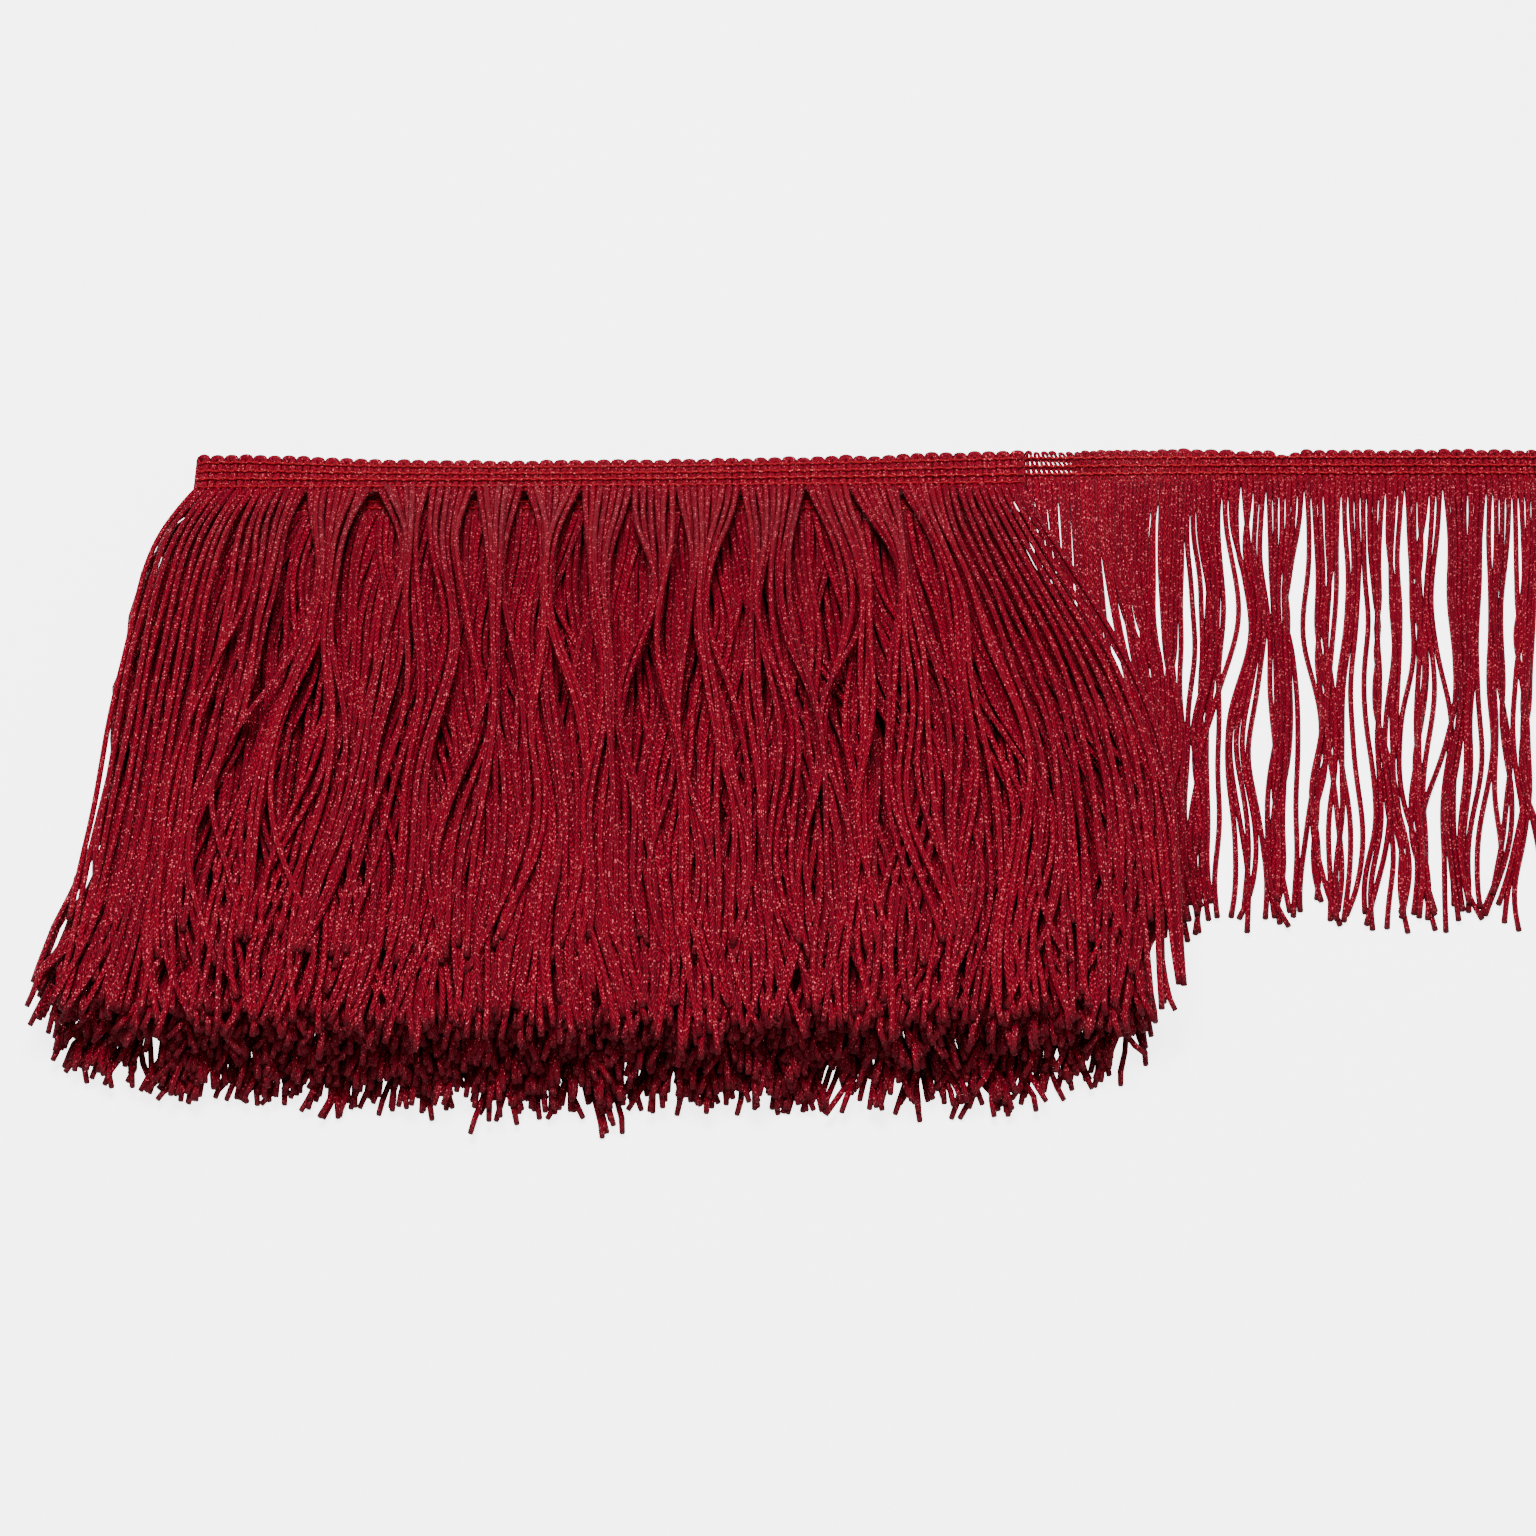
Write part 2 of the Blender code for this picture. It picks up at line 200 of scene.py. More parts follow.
# %% [markdown]
# ## The yarn's finish
#
# Chainette is a tiny knitted tube. Seen close it is rows of V-shaped stitches along the cord, and a metallic
# filament knitted in with the yarn makes some of the stitches flash. The colour carries painted light from
# both: painted shade in the stitch valleys and painted light on their crests, and the flash is a painted
# glint, a vivid light colour on the filament's specks. Both are patterns that follow the cord, so each mesh
# carries attributes of its own: how far along its cord a point is, where round it, and how near the cut end,
# where the yarn frays and is painted darker, as painted shade on the cut ends.
#
# The stitches and the glitter are node groups, because the heading uses them too with other values.

# %% A node group for the V-shaped stitches


def new_group(name, inputs, outputs):
    """An empty shader group with float or vector sockets, and its input and output nodes."""
    group = bpy.data.node_groups.new(name, "ShaderNodeTree")
    for socket, kind in inputs:
        group.interface.new_socket(socket, in_out="INPUT", socket_type=kind)
    for socket, kind in outputs:
        group.interface.new_socket(socket, in_out="OUTPUT", socket_type=kind)
    return group, group.nodes.new("NodeGroupInput"), group.nodes.new("NodeGroupOutput")


def maths(tree, operation, first, second=None, third=None):
    """A Math node's output. Each value is a socket or a plain number."""
    node = tree.nodes.new("ShaderNodeMath")
    node.operation = operation
    for socket, value in zip(node.inputs, (first, second, third)):
        if value is None:
            continue
        if isinstance(value, bpy.types.NodeSocket):
            tree.links.new(value, socket)
        else:
            socket.default_value = value
    return node.outputs[0]


def stitch_group():
    """V-shaped stitches in columns round a cord: their height, and a mask of their valleys."""
    group, inside, outside = new_group(
        "v_stitches",
        [("Along", "NodeSocketFloat"), ("Around", "NodeSocketVector"), ("Stitch", "NodeSocketFloat"),
         ("Columns", "NodeSocketFloat")],
        [("Height", "NodeSocketFloat"), ("Valley", "NodeSocketFloat")],
    )
    split = group.nodes.new("ShaderNodeSeparateXYZ")
    group.links.new(inside.outputs["Around"], split.inputs[0])
    angle = maths(group, "ARCTAN2", split.outputs["Y"], split.outputs["X"])
    turn = maths(group, "MULTIPLY_ADD", angle, 0.5 / math.pi, 0.5)
    column = maths(group, "FRACT", maths(group, "MULTIPLY", turn, inside.outputs["Columns"]))
    side = maths(group, "ABSOLUTE", maths(group, "SUBTRACT", column, 0.5))
    stitch = maths(group, "DIVIDE", inside.outputs["Along"], inside.outputs["Stitch"])
    slanted = maths(group, "MULTIPLY_ADD", side, 2.2, stitch)
    tooth = maths(group, "SINE", maths(group, "MULTIPLY", maths(group, "FRACT", slanted), math.pi))
    seam = maths(group, "POWER", maths(group, "MULTIPLY", side, 2), 5)
    height = maths(group, "MULTIPLY", tooth, maths(group, "SUBTRACT", 1, seam))
    group.links.new(height, outside.inputs["Height"])
    group.links.new(maths(group, "SUBTRACT", 1, height), outside.inputs["Valley"])
    return group


STITCHES = stitch_group()

# %% A node group for the glitter of the metallic filament


def glitter_group():
    """Scattered specks: a mask that is 1 on a speck, for a share of small cells picked at random."""
    group, inside, outside = new_group(
        "filament_glitter",
        [("Cells", "NodeSocketFloat"), ("Share", "NodeSocketFloat")],
        [("Speck", "NodeSocketFloat"), ("Tone", "NodeSocketFloat")],
    )
    place = group.nodes.new("ShaderNodeTexCoord")
    cells = group.nodes.new("ShaderNodeTexVoronoi")
    group.links.new(place.outputs["Object"], cells.inputs["Vector"])
    group.links.new(inside.outputs["Cells"], cells.inputs["Scale"])
    split = group.nodes.new("ShaderNodeSeparateColor")
    group.links.new(cells.outputs["Color"], split.inputs[0])
    picked = maths(group, "LESS_THAN", split.outputs["Red"], inside.outputs["Share"])
    core = maths(group, "LESS_THAN", cells.outputs["Distance"], 0.42)
    group.links.new(maths(group, "MULTIPLY", picked, core), outside.inputs["Speck"])
    group.links.new(split.outputs["Green"], outside.inputs["Tone"])
    return group


GLITTER = glitter_group()

# %% [markdown]
# ## The two materials
#
# Cords, the heading's ground and the chain rows are the same red yarn, in lighter and darker copies: the
# chain rows are painted lighter, as painted light on the raised rows, and stand out as orange-red lines; the
# ground is painted a little lighter than the cords; and the cords are painted darker, as painted shade,
# nearly black in the gaps. Each cord has its own slight tone.

# %% One function makes both materials


def mixed(tree, share, first, second):
    """A colour between two others. Each is a socket or a plain colour."""
    node = tree.nodes.new("ShaderNodeMix")
    node.data_type = "RGBA"
    tree.links.new(share, node.inputs["Factor"])
    for name, value in (("A", first), ("B", second)):
        socket = next(item for item in node.inputs if item.name == name and item.type == "RGBA")
        if isinstance(value, bpy.types.NodeSocket):
            tree.links.new(value, socket)
        else:
            socket.default_value = (*value, 1)
    return next(item for item in node.outputs if item.type == "RGBA")


# The dark colour of the cut ends: partly the fraying yarn, partly painted shade where the cut ends lie in
# shade.
FRAYED_END_SHADE_COLOUR = (0.1, 0.006, 0.012)


def glitter_yarn(name, dark_tone_and_valley_shade, light_tone_and_crest_light, speck, stitch, columns, relief, glitter_share):
    """Red knitted yarn with stitches stitch metres long: its colour is painted darker in the stitch valleys
    as painted shade and lighter on the crests as painted light, and a share of its small cells flash with
    painted glints.
    """
    material = bpy.data.materials.new(name)
    material.use_nodes = True
    tree = material.node_tree
    shader = tree.nodes["Principled BSDF"]
    along = tree.nodes.new("ShaderNodeAttribute")
    along.attribute_name = "along"
    around = tree.nodes.new("ShaderNodeAttribute")
    around.attribute_name = "around"
    stitches = tree.nodes.new("ShaderNodeGroup")
    stitches.node_tree = STITCHES
    tree.links.new(along.outputs["Fac"], stitches.inputs["Along"])
    tree.links.new(around.outputs["Vector"], stitches.inputs["Around"])
    stitches.inputs["Stitch"].default_value = stitch
    stitches.inputs["Columns"].default_value = columns
    glitter = tree.nodes.new("ShaderNodeGroup")
    glitter.node_tree = GLITTER
    glitter.inputs["Cells"].default_value = 2100
    glitter.inputs["Share"].default_value = glitter_share
    own_tone = tree.nodes.new("ShaderNodeSeparateXYZ")
    tree.links.new(around.outputs["Vector"], own_tone.inputs[0])
    cord_tone = maths(tree, "MULTIPLY", own_tone.outputs["Z"], 0.25)
    # Painted shade and painted light of the stitch relief: the colour is darker in the stitch valleys and
    # lighter on the crests, plus each cord's own random tone.
    tone = maths(tree, "MULTIPLY_ADD", stitches.outputs["Height"], 0.8, cord_tone)
    yarn_colour = mixed(tree, tone, dark_tone_and_valley_shade, light_tone_and_crest_light)
    # Painted glints: the filament's specks get a vivid light colour of their own, at a random strength, as
    # painted highlights; metal and gloss are raised only a little there.
    painted_glint_strength = between_sockets(tree, 0.25, 1.0, glitter.outputs["Tone"])
    speck_mask = maths(tree, "MULTIPLY", glitter.outputs["Speck"], painted_glint_strength)
    yarn_with_painted_glints = mixed(tree, speck_mask, yarn_colour, speck)
    # Painted shade on the cut ends: near each cut end the colour goes dark, partly for the fraying yarn and
    # partly as painted shade.
    ends = tree.nodes.new("ShaderNodeAttribute")
    ends.attribute_name = "frayed_end_shade"
    end_shade_share = maths(tree, "MULTIPLY", ends.outputs["Fac"], 0.85)
    tree.links.new(mixed(tree, end_shade_share, yarn_with_painted_glints, FRAYED_END_SHADE_COLOUR), shader.inputs["Base Color"])
    tree.links.new(maths(tree, "MULTIPLY", glitter.outputs["Speck"], 0.15), shader.inputs["Metallic"])
    tree.links.new(between_sockets(tree, 0.62, 0.28, glitter.outputs["Speck"]), shader.inputs["Roughness"])
    shader.inputs["Specular IOR Level"].default_value = 0.08
    bump = tree.nodes.new("ShaderNodeBump")
    bump.inputs["Strength"].default_value = 0.9
    bump.inputs["Distance"].default_value = relief
    tree.links.new(stitches.outputs["Height"], bump.inputs["Height"])
    tree.links.new(bump.outputs["Normal"], shader.inputs["Normal"])
    return material


def between_sockets(tree, low, high, share):
    """A value that goes from low to high as the share goes from 0 to 1."""
    return maths(tree, "MULTIPLY_ADD", share, high - low, low)


# Three copies of one yarn: the cords are painted darker as painted shade, the heading's ground and chain
# rows lighter as painted light.
SHADED_CORD_YARN = glitter_yarn("chainette_yarn_painted_shade", (0.065, 0.0005, 0.007), (0.26, 0.002, 0.014), (1.0, 0.14, 0.18),
                         0.0014, 3, 0.0003, 0.24)
LIT_CHAIN_YARN = glitter_yarn("chain_stitch_yarn_painted_light", (0.27, 0.003, 0.011), (0.48, 0.009, 0.021), (1.0, 0.16, 0.17),
                          0.0016, 2, 0.0002, 0.2)
LIT_GROUND_YARN = glitter_yarn("heading_yarn", (0.12, 0.0015, 0.008), (0.26, 0.003, 0.016), (1.0, 0.12, 0.15),
                           0.0014, 3, 0.0003, 0.2)

# %% [markdown]
# ## Sweeping many cords at once
#
# A round cord could be a curve with a bevel, but a few thousand curves are slow and can't carry the
# attributes. Instead one bmesh holds a circle for each cord, and one extrusion moves all of them a step
# on, again and again. Two integer layers are copied with every extrusion, so each vertex still knows its
# cord and its place in the ring when numpy puts all rings where they belong, square to their own lines.

# %% The sweep


def ring_topology(cords, stations, sides):
    """Closed tubes with no shape yet, as a mesh, and each vertex's cord, station and corner."""
    builder = bmesh.new()
    cord_layer = builder.verts.layers.int.new("cord")
    corner_layer = builder.verts.layers.int.new("corner")
    station_layer = builder.verts.layers.int.new("station")
    for cord in range(cords):
        circle = bmesh.ops.create_circle(builder, cap_ends=True, segments=sides, radius=1)["verts"]
        for corner, vertex in enumerate(circle):
            vertex[cord_layer] = cord
            vertex[corner_layer] = corner
    ends = list(builder.faces)
    for station in range(1, stations):
        grown = bmesh.ops.extrude_face_region(builder, geom=ends)["geom"]
        ends = [item for item in grown if isinstance(item, bmesh.types.BMFace)]
        for item in grown:
            if isinstance(item, bmesh.types.BMVert):
                item[station_layer] = station
    mesh = bpy.data.meshes.new("cords")
    builder.to_mesh(mesh)
    builder.free()
    labels = []
    for name in ("cord", "station", "corner"):
        values = np.zeros(len(mesh.vertices), np.int32)
        mesh.attributes[name].data.foreach_get("value", values)
        mesh.attributes.remove(mesh.attributes[name])
        labels.append(values)
    return mesh, labels


def unit(vectors):
    return vectors / np.maximum(np.linalg.norm(vectors, axis=-1, keepdims=True), 1e-9)


def sweep(name, lines, radii, sides, material, upwards=(0.0, 0.0, 1.0), flat=1.0, seed=1):
    """A piece of cords along lines, an array of cords by stations by xyz in millimetres.

    radii is an array of cords by stations. flat squeezes the section towards upwards.
    """
    draw = np.random.default_rng(seed)
    cords, stations, _ = lines.shape
    mesh, (cord, station, corner) = ring_topology(cords, stations, sides)
    tangents = unit(np.gradient(lines, axis=1))
    sideways = unit(np.cross(tangents, np.broadcast_to(upwards, lines.shape)))
    over = np.cross(sideways, tangents)
    angles = 2 * math.pi * corner / sides + math.pi / 2 * (sides % 2)
    radius = radii[cord, station][:, None]
    section = np.cos(angles)[:, None] * sideways[cord, station]
    section += flat * np.sin(angles)[:, None] * over[cord, station]
    points = in_frame(lines[cord, station] + radius * section)
    mesh.vertices.foreach_set("co", points.astype(np.float32).ravel())
    steps = np.linalg.norm(np.diff(lines, axis=1), axis=2)
    lengths = np.concatenate([np.zeros((cords, 1)), np.cumsum(steps, axis=1)], axis=1) * MM
    starts = draw.uniform(0, 0.01, cords)
    turns = draw.uniform(0, 2 * math.pi, cords)
    tones = draw.uniform(0, 1, cords)
    around = np.stack([np.cos(angles + turns[cord]), np.sin(angles + turns[cord]), tones[cord]], axis=1)
    along_attribute = mesh.attributes.new("along", "FLOAT", "POINT")
    along_attribute.data.foreach_set("value", (lengths + starts[:, None])[cord, station].astype(np.float32))
    around_attribute = mesh.attributes.new("around", "FLOAT_VECTOR", "POINT")
    around_attribute.data.foreach_set("vector", around.astype(np.float32).ravel())
    # How near the cut end a point is; the material paints the yarn darker there, partly for fraying and
    # partly as painted shade.
    frayed_end_shade = np.exp(-((lengths[:, -1:] - lengths) / (1.6 * MM)) ** 2)
    frayed_end_shade_attribute = mesh.attributes.new("frayed_end_shade", "FLOAT", "POINT")
    frayed_end_shade_attribute.data.foreach_set("value", frayed_end_shade[cord, station].astype(np.float32))
    mesh.name = name
    mesh.materials.append(material)
    mesh.shade_smooth()
    mesh.update()
    piece = bpy.data.objects.new(name, mesh)
    bpy.context.scene.collection.objects.link(piece)
    turn_outwards(mesh)
    print(name, "has", cords, "cords and", triangles(mesh), "triangles")
    return piece


def turn_outwards(mesh):
    """Turns a mesh inside out if its faces point inwards."""
    builder = bmesh.new()
    builder.from_mesh(mesh)
    if builder.calc_volume(signed=True) < 0:
        bmesh.ops.reverse_faces(builder, faces=builder.faces)
        builder.to_mesh(mesh)
    builder.free()


def triangles(mesh):
    return sum(len(face.vertices) - 2 for face in mesh.polygons)


# %% [markdown]
# ## Where the cords of the roll lie
#
# The roll is a spiral pressed flat. Its line is found once, as the solids have it, and then read at any
# length: that gives the root of every cord, the loops of the heading and the four chain rows.

# %% The line of the wound tape


STRAIGHT = HALF - (STACK + LAP_PITCH) / 2
LAST_BEND = 0.74 * math.pi


def wound_line():
    """The tape's middle from the inside of the roll to the last lap: x, height and skew at even steps."""
    order = []
    for turn in range(LAPS // 2):
        order += [LAPS // 2 + turn, LAPS // 2 - 1 - turn]
    heights = [TAPE / 2 + place * LAP_PITCH for place in order] + [LAST_LAP_HEIGHT]
    straight = STRAIGHT
    corners = [(-straight, heights[0], roll_skew(heights[0]))]
    for turn, (start, end) in enumerate(zip(heights, heights[1:])):
        side = 1 if turn % 2 == 0 else -1
        last = turn == LAPS - 1
        angle = np.linspace(0, LAST_BEND if last else math.pi, 17)
        sideways = np.maximum(np.sin(angle), 0) ** (2 / FOLD_SQUARENESS)
        upwards = np.abs(np.cos(angle)) ** (2 / FOLD_SQUARENESS) * np.sign(np.cos(angle))
        share = (1 - upwards) / 2
        x = side * (straight + (turn + 1) * LAP_PITCH / 2 * sideways)
        skew = between(roll_skew(start), 0 if last else roll_skew(end), share)
        corners += list(zip(x, between(start, end, share), skew))
    return np.array(corners)


def roll_skew(height):
    """How far forward a lap of the roll lies. The lower laps have slid towards the fringe."""
    return between(BASE_SKEW, TOP_SKEW, height / STACK)


TAPE_LINE = wound_line()
TAPE_STEPS = np.linalg.norm(np.diff(TAPE_LINE[:, :2], axis=0), axis=1)
TAPE_LENGTHS = np.concatenate([[0.0], np.cumsum(TAPE_STEPS)])
WOUND_LENGTH = TAPE_LENGTHS[-1]
print("the wound tape is", round(WOUND_LENGTH), "mm long")


def tape_at(length):
    """x, height, skew and the outward direction (x, z) of the wound tape at a length along it."""
    x, height, skew = (np.interp(length, TAPE_LENGTHS, TAPE_LINE[:, axis]) for axis in range(3))
    ahead = [np.interp(length + 0.8, TAPE_LENGTHS, TAPE_LINE[:, axis])
             - np.interp(length - 0.8, TAPE_LENGTHS, TAPE_LINE[:, axis]) for axis in (0, 1)]
    size = np.maximum(np.hypot(*ahead), 1e-9)
    return x, height, skew, -ahead[1] / size, ahead[0] / size


# %% The line of the loose end


def ramp_share(x):
    return ease((x - RAMP_START) / (RAMP_END - RAMP_START))


def front_edge(x):
    """The middle of the heading's front edge on the last lap, down the ramp and along the table."""
    share = ramp_share(x)
    rounded = ease((-x - HALF + 1.2) / 1.6)
    drift = LAP_DRIFT * np.clip((x + HALF) / ROLL_WIDTH, 0, 1) - 0.7
    y = between(drift, LOOSE_SET_BACK, share)
    return np.stack([x, y, between(LAST_LAP_HEIGHT, TAPE / 2, share) - rounded], axis=-1)


def droop(x):
    """How steeply the heading falls to its back edge. It sags most in the middle of the roll."""
    on_roll = np.maximum(0.25 - np.where(x < -20, 0.5, 0.15) * ((x + 20) / 100) ** 2, 0)
    share = ramp_share(x)
    return on_roll * (1 - ease((x - RAMP_START) / LEVEL_LENGTH)) - RAMP_TWIST * share * (1 - share)


def width_direction(x):
    """The way across the heading there, towards its back edge."""
    ahead = front_edge(x + 1) - front_edge(x - 1)
    sideways = unit(np.stack([-ahead[..., 1], ahead[..., 0], np.zeros_like(x)], axis=-1))
    return unit(sideways - np.stack([0 * x, 0 * x, droop(x)], axis=-1))


# %% Even steps along the tape, also where it runs down the ramp
EDGE_X = np.linspace(-HALF - 2, LOOSE_END + 2, 2000)
EDGE_STEPS = np.linalg.norm(np.diff(front_edge(EDGE_X), axis=0), axis=1)
EDGE_LENGTHS = np.concatenate([[0.0], np.cumsum(EDGE_STEPS)])


def length_at(x):
    return np.interp(x, EDGE_X, EDGE_LENGTHS)


def x_at(length):
    return np.interp(length, EDGE_LENGTHS, EDGE_X)


LAST_LAP_LENGTH = float(length_at(RAMP_START) - length_at(LAST_LAP_START))
LOOSE_LENGTH = float(length_at(LOOSE_END) - length_at(RAMP_START))
print("tape lengths in mm:", round(WOUND_LENGTH), round(LAST_LAP_LENGTH), round(LOOSE_LENGTH))

# %% [markdown]
# ## The heading
#
# Each scallop is one cord that comes up through the heading, turns and goes back down. Four chain rows
# run the whole length, over every cord. They are separate pieces, because the ground is the sheet and the
# rows lie on it.

# %% Loops of the ground, seen as distance behind the front edge and shift along the tape
LAST_LAP_SCALLOPS = 58
LOOSE_SCALLOPS = 48
CORD_PITCH = LAST_LAP_LENGTH / (2 * LAST_LAP_SCALLOPS)
LOOSE_PITCH = LOOSE_LENGTH / (2 * LOOSE_SCALLOPS)
GROUND_RADIUS = 1.03
GROUND_FLATNESS = 0.32
CHAIN_RADIUS = 0.26
CHAIN_PLACES = (0.85, 3.5, 6.1, 8.85)


def loop_shape(pitch, steps):
    """One cord's way through the heading: arrays of distance back and of shift along, from leg to leg."""
    straight = np.linspace(-0.8, HEADING - 1.4, steps)
    turn = np.linspace(0, math.pi, 7)[1:-1]
    back = np.concatenate([straight, HEADING - 1.4 + 0.5 * np.sin(turn), straight[::-1]])
    shift = np.concatenate([np.full(steps, -0.5), -0.5 * np.cos(turn), np.full(steps, 0.5)]) * pitch
    return back, shift


def over_and_under(back):
    """How far the ground is pressed down under the chain rows, from 0 between them to 1 below one."""
    nearest = np.min([np.abs(back - place) for place in CHAIN_PLACES], axis=0)
    return np.exp(-((nearest / 0.8) ** 2))


# %% Heading of the last lap and of the loose end
NOTCH = 177.4


def laid_heading(name, low, high, pitch, steps, seed, thin=None):
    """Loops side by side along the front edge's line from x = low to x = high."""
    draw = np.random.default_rng(seed)
    middles = np.arange(length_at(low) + pitch, length_at(high) - pitch / 2, 2 * pitch)[:, None]
    back, shift = loop_shape(pitch, steps)
    x = x_at(middles + shift + draw.normal(0, 0.02, middles.shape))
    at_edge = ease((back - 8) / 3)
    back = back + at_edge * (draw.normal(0, 0.2, middles.shape) - 1.5 * np.exp(-(((x - NOTCH) / 3) ** 2)))
    lines = front_edge(x) + width_direction(x) * back[..., None]
    lines[..., 2] -= 0.25 * over_and_under(back)
    radii = np.full(x.shape, 0.97 * GROUND_RADIUS * pitch / CORD_PITCH)
    if thin is not None:
        radii = radii * thin(x, back) * fanned_out(x, back)
    return sweep(name, lines, radii, 6, LIT_GROUND_YARN, flat=GROUND_FLATNESS, seed=seed)


def laid_chains(name, low, high, pitch, seed):
    """Chain rows over the same loops, rising over every cord."""
    x = x_at(np.arange(length_at(low), length_at(high), pitch / 4))
    rows = []
    for row, place in enumerate(CHAIN_PLACES):
        wave = np.cos(2 * math.pi * (x - low) / pitch + row)
        back = place + 0.16 * np.sin(math.pi * (x - low) / pitch + row)
        centre = front_edge(x) + width_direction(x) * back[:, None]
        centre[:, 2] += 0.55 + 0.12 * wave
        rows.append(centre)
    lines = np.array(rows)
    radii = np.full(lines.shape[:2], CHAIN_RADIUS) * (1 + 0.1 * np.cos(2 * math.pi * (x - low) / pitch))
    return sweep(name, lines, radii, 6, LIT_CHAIN_YARN, seed=seed)


def stretched_ramp(x, back):
    """The cords are drawn thin between the chain rows where the tape is stretched off the roll."""
    stretched = ease((x - RAMP_START + 1) / 2) * (1 - ease((x - RAMP_START - 10) / 20))
    in_band = (1 - over_and_under(back)) * ease((back - 3.6) / 0.8) * (1 - ease((back - 10.2) / 0.8))
    return 1 - between(0.36, 0.6, ease((x - RAMP_START) / 14)) * stretched * in_band


def fanned_out(x, back):
    """How far apart the cords lie, compared with the front edge. The ramp's bends close and open them."""
    ahead = front_edge(x + 0.5) + width_direction(x + 0.5) * back[..., None]
    behind = front_edge(x - 0.5) + width_direction(x - 0.5) * back[..., None]
    at_front = front_edge(x + 0.5) - front_edge(x - 0.5)
    wider = np.linalg.norm(ahead - behind, axis=-1) / np.linalg.norm(at_front, axis=-1)
    return np.clip(wider, 0.5, 1.45)


last_lap_heading = laid_heading("last_lap_ground", LAST_LAP_START, RAMP_START, CORD_PITCH, 9, 21)
last_lap_chains = laid_chains("last_lap_chains", LAST_LAP_START, RAMP_START, CORD_PITCH, 22)
loose_heading = laid_heading("loose_ground", RAMP_START, LOOSE_END, LOOSE_PITCH, 17, 23, stretched_ramp)
loose_chains = laid_chains("loose_chains", RAMP_START, LOOSE_END, LOOSE_PITCH, 24)

# %% Heading of the wound laps


LEFT_BEND = WOUND_LENGTH - 60
BEND_LENGTH = 55.0


def wound_point(length, back, out):
    """Points of the wound heading at a length, a distance back and a distance out from the tape's middle."""
    x, height, skew, out_x, out_up = tape_at(length)
    fall = REAR_DROP * (1 - 0.55 * ease((length - LEFT_BEND) / BEND_LENGTH))
    drop = 1 - fall * np.maximum(back, 0) / HEADING
    return np.stack([x + out * out_x, back - skew, (height + out * out_up) * drop], axis=-1)


def wound_heading():
    draw = np.random.default_rng(25)
    middles = np.arange(WOUND_LENGTH - CORD_PITCH, 0, -2 * CORD_PITCH)[::-1, None]
    back, shift = loop_shape(CORD_PITCH, 3)
    back = back + draw.normal(0, 0.2, middles.shape) * (back > HEADING - 2)
    lines = wound_point(middles + shift, back, 0)
    _, _, _, out_x, out_up = tape_at(middles[:, 0])
    upwards = np.stack([out_x, 0 * out_x, out_up], axis=-1)[:, None, :]
    radii = np.full(back.shape, GROUND_RADIUS)
    return sweep("wound_ground", lines, radii, 5, LIT_GROUND_YARN, upwards=upwards, flat=GROUND_FLATNESS,
                 seed=25)


def wound_chains():
    """Chain rows along the whole tape, with their small waves only where they show."""
    seen = WOUND_LENGTH - ROLL_WIDTH - STACK
    hidden_part = np.arange(0, seen, 3.4)
    length = np.concatenate([hidden_part, np.arange(seen, WOUND_LENGTH, CORD_PITCH / 3)])
    wave = 0.12 * np.cos(2 * math.pi * length / CORD_PITCH) * (length > seen)
    rows = [wound_point(length, np.full(length.shape, place), 0.5 + wave) for place in CHAIN_PLACES]
    lines = np.array(rows)
    lines[..., 2] = np.maximum(lines[..., 2], CHAIN_RADIUS)
    radii = np.full(lines.shape[:2], CHAIN_RADIUS)
    return sweep("wound_chains", lines, radii, 5, LIT_CHAIN_YARN, upwards=(0.0, 1.0, 0.0), seed=26)


wound_ground = wound_heading()
wound_chain_rows = wound_chains()

# %% [markdown]
# ## How cords lie together
#
# Soft cords never lie evenly. Neighbours cling in small bundles, a bundle sways as one, single cords
# wander across their neighbours, and cut ends turn out. Each of these is one small function of where the
# cord starts and how far along it is, and a cord's sideways place is the sum of them.

# %% Bundles, sway and wandering
CORD_RADIUS = 0.72


def bundles(count, fewest, most, draw):
    """The number of the bundle that each cord belongs to."""
    sizes = draw.integers(fewest, most + 1, count)
    return np.repeat(np.arange(count), sizes)[:count]


def ranks_in_bundles(places, members, muddle, draw):
    """Each cord's rank in its bundle, counted from the left, with some neighbours changed over."""
    order = np.lexsort((places + draw.normal(0, muddle, len(places)), members))
    first = np.concatenate([[0], np.cumsum(np.bincount(members))[:-1]])
    ranks = np.empty(len(places))
    ranks[order] = np.arange(len(places)) - first[members[order]]
    return ranks


